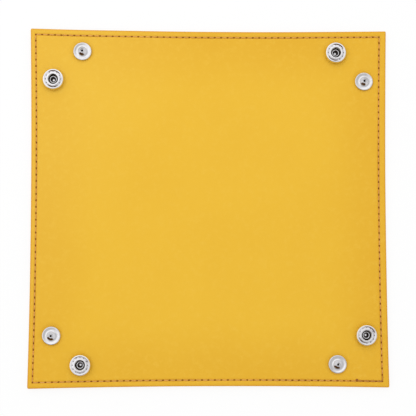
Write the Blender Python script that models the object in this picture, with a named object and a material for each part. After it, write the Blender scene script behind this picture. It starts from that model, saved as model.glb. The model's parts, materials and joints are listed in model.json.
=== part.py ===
"""Folding dice tray, laid flat.

A square of doubled leather, sewn round its edge. Every side carries a snap stud near its start and a snap socket near
its end, going clockwise. To make the tray the four walls fold up, each corner pinches outwards along its diagonal, and
the stud of one wall presses into the socket of the next.

Metres, +Z up. The origin is at the middle of the sheet, on the surface that the snap caps stand on. Each side is drawn
once, as the back side, in a frame whose +X runs along the edge from the stud end to the socket end and whose +Y points
outwards, and is turned about Z for the other three.
"""

from collections import namedtuple
from math import cos, floor, pi, radians, sin, sqrt

import bmesh
import bpy
from mathutils import Matrix, Vector

# The leather sheet
SHEET_SIDE = 0.200
SIDE_BOW = 0.0011
CORNER_ROUND = 0.001
UPPER_SKIN = 0.00085
LOWER_SKIN = 0.00085
BOND_LINE = 0.0003

# The folds between the panels
FOLD_SLIT = 0.0003
CORNER_SLIT = 0.0007
EAR_MARGIN = 0.0013

# The sewn seam
SEAM_INSET = 0.0033
STITCHES_PER_SIDE = 52
THREAD_DIA = 0.0006
CHANNEL_WIDTH = 0.0012
CHANNEL_DEPTH = 0.0005
THREAD_LIFT = 0.00025

# Where the snaps sit
SNAP_FROM_CORNER = 0.0290
SNAP_FROM_EDGE = 0.0130

# Clearances of the snap pieces
PRESS_GAP = 0.0002
FIT_GAP = 0.0002
CLOSED_GAP = 0.0003
MOUTH_CLEARANCE = 0.0003
SPRING_CLEARANCE = 0.0001
SPRING_ROOM = 0.0003
TIP_CLEARANCE = 0.00025

# The stud and the eyelet behind it
STUD_DIA = 0.0103
STUD_FLANGE = 0.0010
STUD_DISH = 0.00025
NIB_RISE = 0.0021
NIB_WALL = 0.00035
NIB_WAIST = 0.0003
NIB_RECESS = 0.0009
EYELET_DIA = 0.0103
EYELET_HEAD = 0.0008
TUBE_DIA = 0.0029
TUBE_WALL = 0.0004
ROLL_WIDTH = 0.0004
ROLL_HEIGHT = 0.0003

# The socket, its ring spring, and the cap behind it
SOCKET_DIA = 0.0117
SOCKET_BASE = 0.00055
SOCKET_LIP = 0.00055
SOCKET_DISH = 0.00025
SPRING_WIRE = 0.0006
SPRING_MOUTH = 40.0
CAP_DIA = 0.0125
CAP_DOME = 0.0012
POST_DIA = 0.0030
POST_WALL = 0.0005

# Fineness of the round pieces
ROUND_STEPS = 24
WIRE_STEPS = 6
SPRING_STEPS = 18
BOW_STEPS = 8
CORNER_STEPS = 3
EDGE = 0.0003

SIDES = ("back", "right", "front", "left")
SOCKET_END = 1
STUD_END = -1

# Sizes that follow from the ones above
THICKNESS = UPPER_SKIN + BOND_LINE + LOWER_SKIN
HALF_SIDE = SHEET_SIDE / 2
UNDERSIDE = CAP_DOME + PRESS_GAP
TOPSIDE = UNDERSIDE + THICKNESS
TUBE_RADIUS = TUBE_DIA / 2
POST_RADIUS = POST_DIA / 2
TUBE_ROLL = TUBE_RADIUS + ROLL_WIDTH
POST_ROLL = POST_RADIUS + ROLL_WIDTH
NIB_RADIUS = TUBE_ROLL + FIT_GAP + NIB_WALL
MOUTH_RADIUS = NIB_RADIUS + MOUTH_CLEARANCE
SPRING_RADIUS = NIB_RADIUS + SPRING_CLEARANCE + SPRING_WIRE / 2
CAVITY_RADIUS = SPRING_RADIUS + SPRING_WIRE / 2 + SPRING_ROOM
SOCKET_HEIGHT = SOCKET_BASE + FIT_GAP + ROLL_HEIGHT + TIP_CLEARANCE + NIB_RISE - CLOSED_GAP
CLOSED_STACK = 2 * PRESS_GAP + STUD_FLANGE + SOCKET_HEIGHT + CLOSED_GAP
SNAP_ALONG = HALF_SIDE - SNAP_FROM_CORNER
SNAP_OUT = HALF_SIDE - SNAP_FROM_EDGE
EAR_CREASE = SNAP_ALONG - CAP_DIA / 2 - EAR_MARGIN
CORNER_FOLD = CLOSED_STACK / 2
FLOOR_HALF = EAR_CREASE + sqrt(2) * (CORNER_FOLD + THICKNESS) - THICKNESS
STITCH = 2 * (HALF_SIDE - SEAM_INSET) / STITCHES_PER_SIDE
SHEET_MARGIN = 2 * EDGE

LEATHER = ((0.855, 0.515, 0.047), 0.5, 0.0)
THREAD = ((0.434, 0.162, 0.045), 0.8, 0.0)
STEEL = ((0.80, 0.80, 0.79), 0.18, 1.0)
SPRING_STEEL = ((0.62, 0.62, 0.60), 0.25, 1.0)

Anchor = namedtuple("Anchor", "empty at")


def clear_scene():
    for item in list(bpy.data.objects):
        bpy.data.objects.remove(item, do_unlink=True)


def finish_for(name, finish):
    """A Principled material of the piece's own, from its colour, roughness and metallic value."""
    colour, roughness, metallic = finish
    material = bpy.data.materials.new(name + "_finish")
    material.use_nodes = True
    shader = material.node_tree.nodes["Principled BSDF"]
    shader.inputs["Base Color"].default_value = (*colour, 1.0)
    shader.inputs["Roughness"].default_value = roughness
    shader.inputs["Metallic"].default_value = metallic
    return material


def solid(name, bm, finish=None):
    """An object from a closed bmesh; without a finish it is a cutter or a guide."""
    bmesh.ops.recalc_face_normals(bm, faces=bm.faces)
    mesh = bpy.data.meshes.new(name)
    bm.to_mesh(mesh)
    bm.free()
    item = bpy.data.objects.new(name, mesh)
    bpy.context.scene.collection.objects.link(item)
    if finish is None:
        item.hide_render = True
        item.display_type = "WIRE"
    else:
        mesh.materials.append(finish_for(name, finish))
    return item


def anchor(name, at, parent=None, turn=0.0):
    """An empty at a place in its side's frame, for the pieces that turn about it."""
    empty = bpy.data.objects.new(name, None)
    bpy.context.scene.collection.objects.link(empty)
    empty.empty_display_size = 0.005
    empty.rotation_euler.z = turn
    if parent is None:
        empty.location = at
    else:
        empty.parent = parent.empty
        empty.location = at - parent.at
    return Anchor(empty, at)


def place(item, parent, at=Vector((0.0, 0.0, 0.0))):
    """Hang a piece on an anchor, with its own origin at a place in the side's frame."""
    item.parent = parent.empty
    item.location = at - parent.at
    return item


def cut(item, cutter, operation="DIFFERENCE"):
    boolean = item.modifiers.new(cutter.name, "BOOLEAN")
    boolean.operation = operation
    boolean.solver = "EXACT"
    boolean.object = cutter


def prism(outline, low, high):
    """A straight-sided plate with the given outline between two heights."""
    bm = bmesh.new()
    base = bm.faces.new([bm.verts.new((x, y, low)) for x, y in outline])
    raised = bmesh.ops.extrude_face_region(bm, geom=[base])
    tops = [part for part in raised["geom"] if isinstance(part, bmesh.types.BMVert)]
    bmesh.ops.translate(bm, verts=tops, vec=(0.0, 0.0, high - low))
    return bm


def turned(name, profile, finish, is_ring=True):
    """A lathe-turned piece about Z from a half profile of (radius, height) points."""
    bm = bmesh.new()
    points = [bm.verts.new((radius, 0.0, height)) for radius, height in profile]
    lines = [bm.edges.new(pair) for pair in zip(points, points[1:])]
    if is_ring:
        lines.append(bm.edges.new((points[-1], points[0])))
    bmesh.ops.spin(bm, geom=points + lines, cent=(0.0, 0.0, 0.0), axis=(0.0, 0.0, 1.0),
                   angle=2 * pi, steps=ROUND_STEPS, use_merge=True)
    bmesh.ops.remove_doubles(bm, verts=bm.verts, dist=1e-7)
    item = solid(name, bm, finish)
    item.data.shade_smooth()
    item.data.set_sharp_from_angle(angle=radians(40))
    return item


# The leather sheet and what is cut in it

def edge_draw(along, half):
    """How far the slightly hollow edge is drawn in at a place along it."""
    return SIDE_BOW * (1 - (along / half) ** 2)


def bowed_square(half, corner):
    """A square with rounded corners and slightly hollow sides, clockwise from the back left corner."""
    straight = half - corner
    quarter = []
    for step in range(CORNER_STEPS):
        angle = pi - pi / 2 * step / CORNER_STEPS
        quarter.append((corner * cos(angle) - straight, corner * sin(angle) + straight))
    for step in range(BOW_STEPS):
        along = straight * (2 * step / BOW_STEPS - 1)
        quarter.append((along, half - edge_draw(along, straight)))
    outline = []
    for turn in range(4):
        spin = Matrix.Rotation(-turn * pi / 2, 2)
        outline += [spin @ Vector(point) for point in quarter]
    return outline


def seam_channel():
    """A guide for the shallow channel that the seam is pulled down into."""
    middle = HALF_SIDE - SEAM_INSET
    low = TOPSIDE - CHANNEL_DEPTH
    high = TOPSIDE + SHEET_MARGIN
    ring = solid("seam_channel_cutter", prism(bowed_square(middle + CHANNEL_WIDTH / 2, CORNER_ROUND), low, high))
    core = solid("seam_channel_core",
                 prism(bowed_square(middle - CHANNEL_WIDTH / 2, CORNER_ROUND), low - EDGE, high + EDGE))
    cut(ring, core)
    return ring


def post_holes():
    """A guide for the eight holes that the snaps' tubes and posts pass through."""
    bm = bmesh.new()
    for turn in range(4):
        for end, radius in ((STUD_END, TUBE_RADIUS), (SOCKET_END, POST_RADIUS)):
            spot = Vector((end * SNAP_ALONG, SNAP_OUT, (UNDERSIDE + TOPSIDE) / 2))
            spot.rotate(Matrix.Rotation(-turn * pi / 2, 3, "Z"))
            bmesh.ops.create_cone(bm, cap_ends=True, segments=ROUND_STEPS, radius1=radius + FIT_GAP,
                                  radius2=radius + FIT_GAP, depth=THICKNESS + 2 * SHEET_MARGIN,
                                  matrix=Matrix.Translation(spot))
    return solid("post_hole_cutter", bm)


def sheet_blank(name, low, high, cutters):
    """A whole sheet, as a guide that the panels are cut from."""
    blank = solid(name, prism(bowed_square(HALF_SIDE, CORNER_ROUND), low, high))
    for cutter in cutters:
        cut(blank, cutter)
    return blank


def panel(name, outline, blank, parent):
    """The part of a sheet inside an outline, moving with its anchor."""
    item = solid(name, prism(outline, UNDERSIDE - SHEET_MARGIN, TOPSIDE + SHEET_MARGIN), LEATHER)
    cut(item, blank, "INTERSECT")
    return place(item, parent)


def floor_outline():
    reach = FLOOR_HALF - FOLD_SLIT / 2
    return [(-reach, -reach), (reach, -reach), (reach, reach), (-reach, reach)]


def wall_outline():
    reach = EAR_CREASE - FOLD_SLIT / 2
    near = FLOOR_HALF + FOLD_SLIT / 2
    far = HALF_SIDE + SHEET_MARGIN
    return [(-reach, near), (reach, near), (reach, far), (-reach, far)]


def beside_diagonal(out, offset):
    """How far along the side a line at an offset from the corner's diagonal lies, at a distance out."""
    return out - sqrt(2) * offset


def ear_outline(end):
    near = FLOOR_HALF + FOLD_SLIT / 2
    far = HALF_SIDE + SHEET_MARGIN
    crease = EAR_CREASE + FOLD_SLIT / 2
    offset = CORNER_FOLD + FOLD_SLIT / 2
    points = [(crease, near), (beside_diagonal(near, offset), near), (beside_diagonal(far, offset), far), (crease, far)]
    return [(end * along, out) for along, out in points]


def fold_outline(end):
    near = FLOOR_HALF + FOLD_SLIT / 2
    far = HALF_SIDE + SHEET_MARGIN
    inner = CORNER_FOLD - FOLD_SLIT / 2
    outer = CORNER_SLIT / 2
    points = [(beside_diagonal(near, inner), near), (beside_diagonal(near, outer), near),
              (beside_diagonal(far, outer), far), (beside_diagonal(far, inner), far)]
    return [(end * along, out) for along, out in points]


# The seam's thread

def seam_thread(name, first, last, parent):
    """A run of lockstitches on the upper face, dipping at each needle hole, from one hole to another."""
    curve = bpy.data.curves.new(name, "CURVE")
    curve.dimensions = "3D"
    curve.bevel_depth = THREAD_DIA / 2
    curve.bevel_resolution = 0
    curve.use_fill_caps = True
    line = curve.splines.new("POLY")
    line.points.add(2 * (last - first))
    seat = TOPSIDE - CHANNEL_DEPTH + FIT_GAP + THREAD_DIA / 2
    for step, point in enumerate(line.points):
        along = (first + step / 2) * STITCH
        out = HALF_SIDE - SEAM_INSET - edge_draw(along, HALF_SIDE - SEAM_INSET)
        point.co = (along, out, seat + THREAD_LIFT * (step % 2), 1.0)
    curve.materials.append(finish_for(name, THREAD))
    item = bpy.data.objects.new(name, curve)
    bpy.context.scene.collection.objects.link(item)
    return place(item, parent)


def wall_holes():
    """The last needle hole that lies on the wall, counted from the middle of the side."""
    return floor((EAR_CREASE - FOLD_SLIT) / STITCH)


def ear_holes():
    """The first and last needle holes that lie on an ear, counted from the middle of the side."""
    reach = beside_diagonal(HALF_SIDE - SEAM_INSET, CORNER_FOLD + FOLD_SLIT) - THREAD_DIA
    return wall_holes() + 1, floor(reach / STITCH)


# The snaps: heights in these profiles are from the leather's upper face

def stud_heights():
    """The heights of the stud's seat, its flange's rim, its nib's tip and the shoulder in the nib."""
    rim = PRESS_GAP + STUD_FLANGE
    tip = rim + NIB_RISE
    return PRESS_GAP, rim, tip, tip - NIB_RECESS


def snap_stud(name):
    seat, rim, tip, shoulder = stud_heights()
    radius = STUD_DIA / 2
    bore = TUBE_RADIUS + FIT_GAP
    recess = TUBE_ROLL + FIT_GAP
    waist = NIB_RADIUS - NIB_WAIST
    profile = [(bore, seat), (radius - EDGE, seat), (radius, seat + EDGE), (radius, rim - EDGE), (radius - EDGE, rim),
               (radius - 3 * EDGE, rim - STUD_DISH), (waist + 2 * EDGE, rim - STUD_DISH), (waist, rim + EDGE),
               (waist, tip - 2.5 * EDGE), (NIB_RADIUS, tip - 1.5 * EDGE), (NIB_RADIUS, tip - EDGE / 2),
               (NIB_RADIUS - NIB_WALL / 2, tip), (recess, tip - EDGE / 2), (recess, shoulder), (bore, shoulder)]
    return turned(name, profile, STEEL)


def stud_eyelet(name):
    seat, rim, tip, shoulder = stud_heights()
    radius = EYELET_DIA / 2
    inner = TUBE_RADIUS - TUBE_WALL
    head_top = -THICKNESS - PRESS_GAP
    head_low = head_top - EYELET_HEAD
    roll_low = shoulder + FIT_GAP
    roll_top = roll_low + ROLL_HEIGHT
    profile = [(inner, roll_low), (inner + TUBE_WALL / 2, roll_top), (TUBE_ROLL - TUBE_WALL / 2, roll_top),
               (TUBE_ROLL, roll_low), (TUBE_RADIUS, roll_low), (TUBE_RADIUS, head_top), (radius - EDGE, head_top),
               (radius, head_top - EDGE), (radius - 2 * EDGE, head_low + EDGE / 3), (inner + 3 * EDGE, head_low),
               (inner, head_low + EDGE)]
    return turned(name, profile, STEEL)


def snap_socket(name):
    seat = PRESS_GAP
    top = seat + SOCKET_HEIGHT
    radius = SOCKET_DIA / 2
    bore = POST_RADIUS + FIT_GAP
    floor_level = seat + SOCKET_BASE
    profile = [(bore, seat), (radius - 2 * EDGE, seat), (radius, seat + 2 * EDGE), (radius, top - 3 * EDGE),
               (radius - EDGE, top - EDGE), (radius - 2.5 * EDGE, top - EDGE / 3), (radius - 4 * EDGE, top - SOCKET_DISH),
               (MOUTH_RADIUS + 2.5 * EDGE, top - SOCKET_DISH), (MOUTH_RADIUS + 1.5 * EDGE, top),
               (MOUTH_RADIUS + EDGE / 2, top), (MOUTH_RADIUS, top - EDGE / 2), (MOUTH_RADIUS, top - SOCKET_LIP),
               (CAVITY_RADIUS, top - SOCKET_LIP), (CAVITY_RADIUS, floor_level), (bore, floor_level)]
    return turned(name, profile, STEEL)


def socket_spring(name):
    """An open ring of round wire under the socket's lip, drawn sprung open round the nib."""
    level = PRESS_GAP + SOCKET_HEIGHT - SOCKET_LIP - FIT_GAP - SPRING_WIRE / 2
    mouth = radians(SPRING_MOUTH)
    bm = bmesh.new()
    stand = Matrix.Translation((SPRING_RADIUS, 0.0, level)) @ Matrix.Rotation(pi / 2, 4, "X")
    start = Matrix.Rotation(mouth / 2, 4, "Z")
    bmesh.ops.create_circle(bm, cap_ends=True, segments=WIRE_STEPS, radius=SPRING_WIRE / 2, matrix=start @ stand)
    bmesh.ops.spin(bm, geom=bm.verts[:] + bm.edges[:] + bm.faces[:], cent=(0.0, 0.0, 0.0), axis=(0.0, 0.0, 1.0),
                   angle=2 * pi - mouth, steps=SPRING_STEPS)
    item = solid(name, bm, SPRING_STEEL)
    item.data.shade_smooth()
    item.data.set_sharp_from_angle(angle=radians(70))
    return item


def socket_cap(name):
    radius = CAP_DIA / 2
    inner = POST_RADIUS - POST_WALL
    rim = -THICKNESS - PRESS_GAP
    crown = rim - CAP_DOME
    roll_low = PRESS_GAP + SOCKET_BASE + FIT_GAP
    roll_top = roll_low + ROLL_HEIGHT
    profile = [(0.0, crown)]
    for step in (1, 2, 3):
        sweep = step * pi / 6
        profile.append((radius * sin(sweep), rim - EDGE - (CAP_DOME - EDGE) * cos(sweep)))
    profile += [(radius - EDGE, rim), (POST_RADIUS, rim), (POST_RADIUS, roll_low), (POST_ROLL, roll_low),
                (POST_ROLL - ROLL_WIDTH / 3, roll_top), (inner + POST_WALL / 2, roll_top), (inner, roll_low),
                (inner, rim + EDGE), (0.0, rim + EDGE)]
    return turned(name, profile, STEEL, is_ring=False)


# Putting it together

def build_end(side, end, wall, blank):
    """One end of a side: its ear, the strip that folds round the corner, the seam and the snap."""
    kind = "socket" if end == SOCKET_END else "stud"
    ear = anchor(f"{side}_{kind}_ear_axis", Vector((end * EAR_CREASE, FLOOR_HALF, UNDERSIDE)), wall)
    fold_at = Vector((end * beside_diagonal(SNAP_OUT, CORNER_FOLD), SNAP_OUT, TOPSIDE))
    fold = anchor(f"{side}_{kind}_fold_axis", fold_at, ear)
    panel(f"{kind}_ear_leather_{side}", ear_outline(end), blank, ear)
    panel(f"{kind}_fold_leather_{side}", fold_outline(end), blank, fold)
    first, last = ear_holes()
    seam_thread(f"seam_thread_{kind}_ear_{side}", *sorted((end * first, end * last)), ear)
    spot = Vector((end * SNAP_ALONG, SNAP_OUT, TOPSIDE))
    if end == SOCKET_END:
        place(snap_socket(f"snap_socket_{side}"), ear, spot)
        place(socket_spring(f"socket_spring_{side}"), ear, spot)
        place(socket_cap(f"socket_cap_{side}"), ear, spot)
    else:
        place(snap_stud(f"snap_stud_{side}"), ear, spot)
        place(stud_eyelet(f"stud_eyelet_{side}"), ear, spot)


def build():
    clear_scene()
    holes = post_holes()
    channel = seam_channel()
    split = UNDERSIDE + LOWER_SKIN
    upper = sheet_blank("upper_skin_blank", split + BOND_LINE, TOPSIDE, (channel, holes))
    lower = sheet_blank("lower_skin_blank", UNDERSIDE, split, (holes,))
    bonded = sheet_blank("bonded_blank", UNDERSIDE, TOPSIDE, (channel, holes))
    middle = anchor("tray", Vector((0.0, 0.0, 0.0)))
    panel("upper_leather_floor", floor_outline(), upper, middle)
    panel("lower_leather_floor", floor_outline(), lower, middle)
    for turn, side in enumerate(SIDES):
        frame = anchor(f"{side}_side", Vector((0.0, 0.0, 0.0)), middle, -turn * pi / 2)
        wall = anchor(f"{side}_wall_axis", Vector((0.0, FLOOR_HALF, TOPSIDE)), frame)
        panel(f"upper_leather_wall_{side}", wall_outline(), upper, wall)
        panel(f"lower_leather_wall_{side}", wall_outline(), lower, wall)
        seam_thread(f"seam_thread_wall_{side}", -wall_holes(), wall_holes(), wall)
        for end in (STUD_END, SOCKET_END):
            build_end(side, end, wall, bonded)


build()
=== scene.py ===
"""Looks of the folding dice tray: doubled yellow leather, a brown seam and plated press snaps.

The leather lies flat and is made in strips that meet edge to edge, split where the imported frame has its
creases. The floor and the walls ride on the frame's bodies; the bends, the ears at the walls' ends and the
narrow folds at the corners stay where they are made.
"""

from __future__ import annotations

import json
import logging
import math
from dataclasses import dataclass
from enum import Enum
from typing import Any, Callable, Sequence, Union

import bmesh
import bpy
import numpy as np
from mathutils import Matrix, Vector

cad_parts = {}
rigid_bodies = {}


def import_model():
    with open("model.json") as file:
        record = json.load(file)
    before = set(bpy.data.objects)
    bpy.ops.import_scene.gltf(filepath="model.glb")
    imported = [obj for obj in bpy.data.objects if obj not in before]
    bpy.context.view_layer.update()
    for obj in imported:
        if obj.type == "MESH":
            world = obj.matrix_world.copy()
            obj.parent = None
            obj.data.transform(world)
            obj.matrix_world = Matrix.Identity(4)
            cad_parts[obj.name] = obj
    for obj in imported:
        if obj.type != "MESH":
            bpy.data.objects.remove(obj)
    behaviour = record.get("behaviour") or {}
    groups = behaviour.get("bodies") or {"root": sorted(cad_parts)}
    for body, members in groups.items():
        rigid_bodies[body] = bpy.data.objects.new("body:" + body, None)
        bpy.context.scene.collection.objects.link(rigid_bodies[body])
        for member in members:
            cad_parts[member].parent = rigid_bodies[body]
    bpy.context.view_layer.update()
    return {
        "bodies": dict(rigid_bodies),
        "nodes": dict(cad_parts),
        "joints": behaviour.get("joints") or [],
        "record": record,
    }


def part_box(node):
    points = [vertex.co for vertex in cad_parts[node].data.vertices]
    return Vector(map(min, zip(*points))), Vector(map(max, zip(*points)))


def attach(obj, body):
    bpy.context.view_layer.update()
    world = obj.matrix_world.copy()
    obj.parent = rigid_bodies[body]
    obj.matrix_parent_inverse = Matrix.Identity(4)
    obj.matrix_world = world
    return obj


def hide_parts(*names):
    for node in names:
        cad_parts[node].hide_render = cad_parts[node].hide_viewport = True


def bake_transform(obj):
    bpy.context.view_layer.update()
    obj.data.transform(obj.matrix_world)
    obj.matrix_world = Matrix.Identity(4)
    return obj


LOG = logging.getLogger("dice_tray")
MM = 0.001
REST_PLACE = "rest_place"
IMAGE_SIDE = 416

Colour = tuple[float, float, float, float]
Point = tuple[float, float, float]
# Where something starts and ends
Span = tuple[float, float]
# Radius, height and fillet at a corner of a turned outline, in millimetres
Corner = tuple[float, float, float]
# How far a point of a turned piece is raised, from its radius, height and angle
Lift = Callable[[float, float, float], float]


def screen_colour(*steps: int) -> Colour:
    """A colour written in the usual 0 to 255 steps of a screen, made linear.

    Args:
        steps: The steps of red, green and blue.

    Returns:
        The linear colour with full alpha.
    """
    red, green, blue = (share / 12.92 if share <= 0.04045 else ((share + 0.055) / 1.055) ** 2.4
                        for share in (step / 255.0 for step in steps))
    return (red, green, blue, 1.0)


# Named options


class Side(Enum):
    """The four sides of the sheet, clockwise from the back."""

    BACK = 0
    RIGHT = 1
    FRONT = 2
    LEFT = 3

    @property
    def label(self) -> str:
        """The side's name in the frame."""
        return self.name.lower()

    @property
    def turn(self) -> Matrix:
        """The turn that takes the back side's places to this side."""
        return Matrix.Rotation(-self.value * math.pi / 2, 4, "Z")


class SnapHalf(Enum):
    """The half of a press snap that an end of a side carries."""

    STUD = "stud"
    SOCKET = "socket"

    @property
    def hand(self) -> int:
        """The end of the side it is on: -1 where the side starts, going clockwise, and 1 where it ends."""
        return -1 if self is SnapHalf.STUD else 1


class Face(Enum):
    """The two faces of the sheet."""

    UPPER = 1
    LOWER = -1


# Material nodes


def operation(kind: str, swapped: bool = False) -> Callable[[Wire, Value], Wire]:
    """A method that adds a Math node on a wire and another value.

    Args:
        kind: The node's operation.
        swapped: Whether the other value comes first, as in a reflected operator.

    Returns:
        The method.
    """
    def add_node(self: Wire, other: Value) -> Wire:
        """Adds the node and gives its output."""
        values = (other, self) if swapped else (self, other)
        return self.graph.math(kind, *values)

    return add_node


class Wire:
    """One output of a node, with arithmetic that adds Math nodes behind it."""

    __add__ = __radd__ = operation("ADD")
    __sub__ = operation("SUBTRACT")
    __rsub__ = operation("SUBTRACT", swapped=True)
    __mul__ = __rmul__ = operation("MULTIPLY")
    __truediv__ = operation("DIVIDE")
    __rtruediv__ = operation("DIVIDE", swapped=True)
    __pow__ = operation("POWER")
    __rpow__ = operation("POWER", swapped=True)
    greater = operation("MAXIMUM")
    lesser = operation("MINIMUM")

    def __init__(self, graph: Graph, socket: bpy.types.NodeSocket) -> None:
        """Wraps the socket of a node in that graph."""
        self.graph = graph
        self.socket = socket

    def __abs__(self) -> Wire:
        """This value without its sign."""
        return self.graph.math("ABSOLUTE", self)

    def fraction(self) -> Wire:
        """What this value has after the point."""
        return self.graph.math("FRACT", self)

    def rise(self, low: float, high: float) -> Wire:
        """A smooth step from 0 where this value is low to 1 where it is high."""
        sockets = {"Value": self, "From Min": low, "From Max": high}
        return self.graph.wire("ShaderNodeMapRange", {"interpolation_type": "SMOOTHSTEP"}, sockets)


Value = Union[Wire, float, Colour, Point]


class Graph:
    """The nodes of one material or world."""

    def __init__(self, owner: bpy.types.Material | bpy.types.World) -> None:
        """Starts with an empty node tree.

        Args:
            owner: The material or world that the nodes belong to.
        """
        owner.use_nodes = True
        self.tree = owner.node_tree
        self.tree.nodes.clear()

    def node(self, kind: str, settings: dict[str, Any] | None = None,
             sockets: dict[str | int, Value] | None = None) -> bpy.types.Node:
        """Adds a node.

        Args:
            kind: The node's type.
            settings: Its settings, which are made before its sockets are filled.
            sockets: Values or wires for its inputs, by name or number.

        Returns:
            The node.
        """
        item = self.tree.nodes.new(kind)
        for name, value in (settings or {}).items():
            setattr(item, name, value)
        for key, value in (sockets or {}).items():
            if isinstance(value, Wire):
                self.tree.links.new(value.socket, item.inputs[key])
            else:
                item.inputs[key].default_value = value
        return item

    def wire(self, kind: str, settings: dict[str, Any] | None = None,
             sockets: dict[str | int, Value] | None = None, output: str | int = 0) -> Wire:
        """Adds a node as above and gives one of its outputs, by name or number."""
        return Wire(self, self.node(kind, settings, sockets).outputs[output])

    def math(self, kind: str, *values: Value) -> Wire:
        """Adds a Math node of that operation on the values."""
        return self.wire("ShaderNodeMath", {"operation": kind}, dict(enumerate(values)))

    def paint(self, base: Value, *layers: tuple[Value, Colour]) -> Value:
        """Lays colours over a base colour.

        Args:
            base: The colour underneath.
            layers: How much of each colour shows, from 0 to 1, and the colour.

        Returns:
            The mixed colour.
        """
        # The Mix node takes colours at its inputs 6 and 7, and gives one at its output 2
        for share, colour in layers:
            sockets = {0: share, 6: base, 7: colour}
            base = self.wire("ShaderNodeMix", {"data_type": "RGBA"}, sockets, 2)
        return base

    def parts(self, kind: str, names: Sequence[str | int],
              sockets: dict[str | int, Value] | None = None) -> list[Wire]:
        """Adds a node and gives several of its outputs.

        Args:
            kind: The node's type.
            names: The outputs' names or numbers.
            sockets: Values or wires for its inputs.

        Returns:
            Those outputs.
        """
        item = self.node(kind, None, sockets)
        return [Wire(self, item.outputs[name]) for name in names]

    def split(self, vector: Wire) -> list[Wire]:
        """The three parts of a vector."""
        return self.parts("ShaderNodeSeparateXYZ", range(3), {0: vector})

    def flat_place(self) -> Wire:
        """Each point's place on the flat sheet, which stays with the leather when it folds."""
        return self.wire("ShaderNodeAttribute", {"attribute_name": REST_PLACE}, None, "Vector")

    def noise(self, place: Wire, mottle: Mottle) -> Wire:
        """Soft noise.

        Args:
            place: Where it is read.
            mottle: Its waves.

        Returns:
            The noise, about 0.5.
        """
        sockets = {"Vector": place, "Scale": mottle.scale, "Detail": mottle.detail,
                   "Roughness": mottle.roughness}
        return self.wire("ShaderNodeTexNoise", None, sockets)

    def cells(self, place: Wire, scale: float, feature: str = "F1") -> Wire:
        """Distances in a pattern of cells.

        Args:
            place: Where it is read.
            scale: Cells in a metre.
            feature: What the distance is taken to.

        Returns:
            The distance.
        """
        sockets = {"Vector": place, "Scale": scale}
        return self.wire("ShaderNodeTexVoronoi", {"feature": feature}, sockets, "Distance")


@dataclass(frozen=True)
class Mottle:
    """Soft noise: its waves in a metre, how many finer waves are added, and how strong those are."""

    scale: float
    detail: float = 2.0
    roughness: float = 0.5


@dataclass(frozen=True)
class Mark:
    """How strongly something shows on a surface, and the band of a measure over which it comes or goes."""

    share: float
    band: Span

    def over(self, measure: Wire) -> Wire:
        """Its strength where it shows past the band."""
        return measure.rise(*self.band) * self.share

    def under(self, measure: Wire) -> Wire:
        """Its strength where it shows short of the band."""
        return (1 - measure.rise(*self.band)) * self.share


# Holds on the frame


@dataclass(frozen=True)
class Bend:
    """A bend between two bodies of the frame, with the points where it starts and ends."""

    first: str
    second: str
    start: Vector
    end: Vector


def put_on(item: bpy.types.Object, hold: str | Bend, slot: str, *nodes: str) -> None:
    """Puts a piece on the frame and reports it.

    Args:
        item: The piece.
        hold: The body that it rides on, or a bend, which is only reported; then the piece stays where it is
            made.
        slot: Not used.
        nodes: The frame's nodes that it stands for.
    """
    if isinstance(hold, Bend):
        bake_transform(item)
        LOG.info("%s: bends from %s to %s", item.name, hold.first, hold.second)
    else:
        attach(item, hold)
        LOG.info("%s: rides on %s", item.name, hold)
    if nodes:
        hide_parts(*nodes)


# Sizes of the sheet


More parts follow.
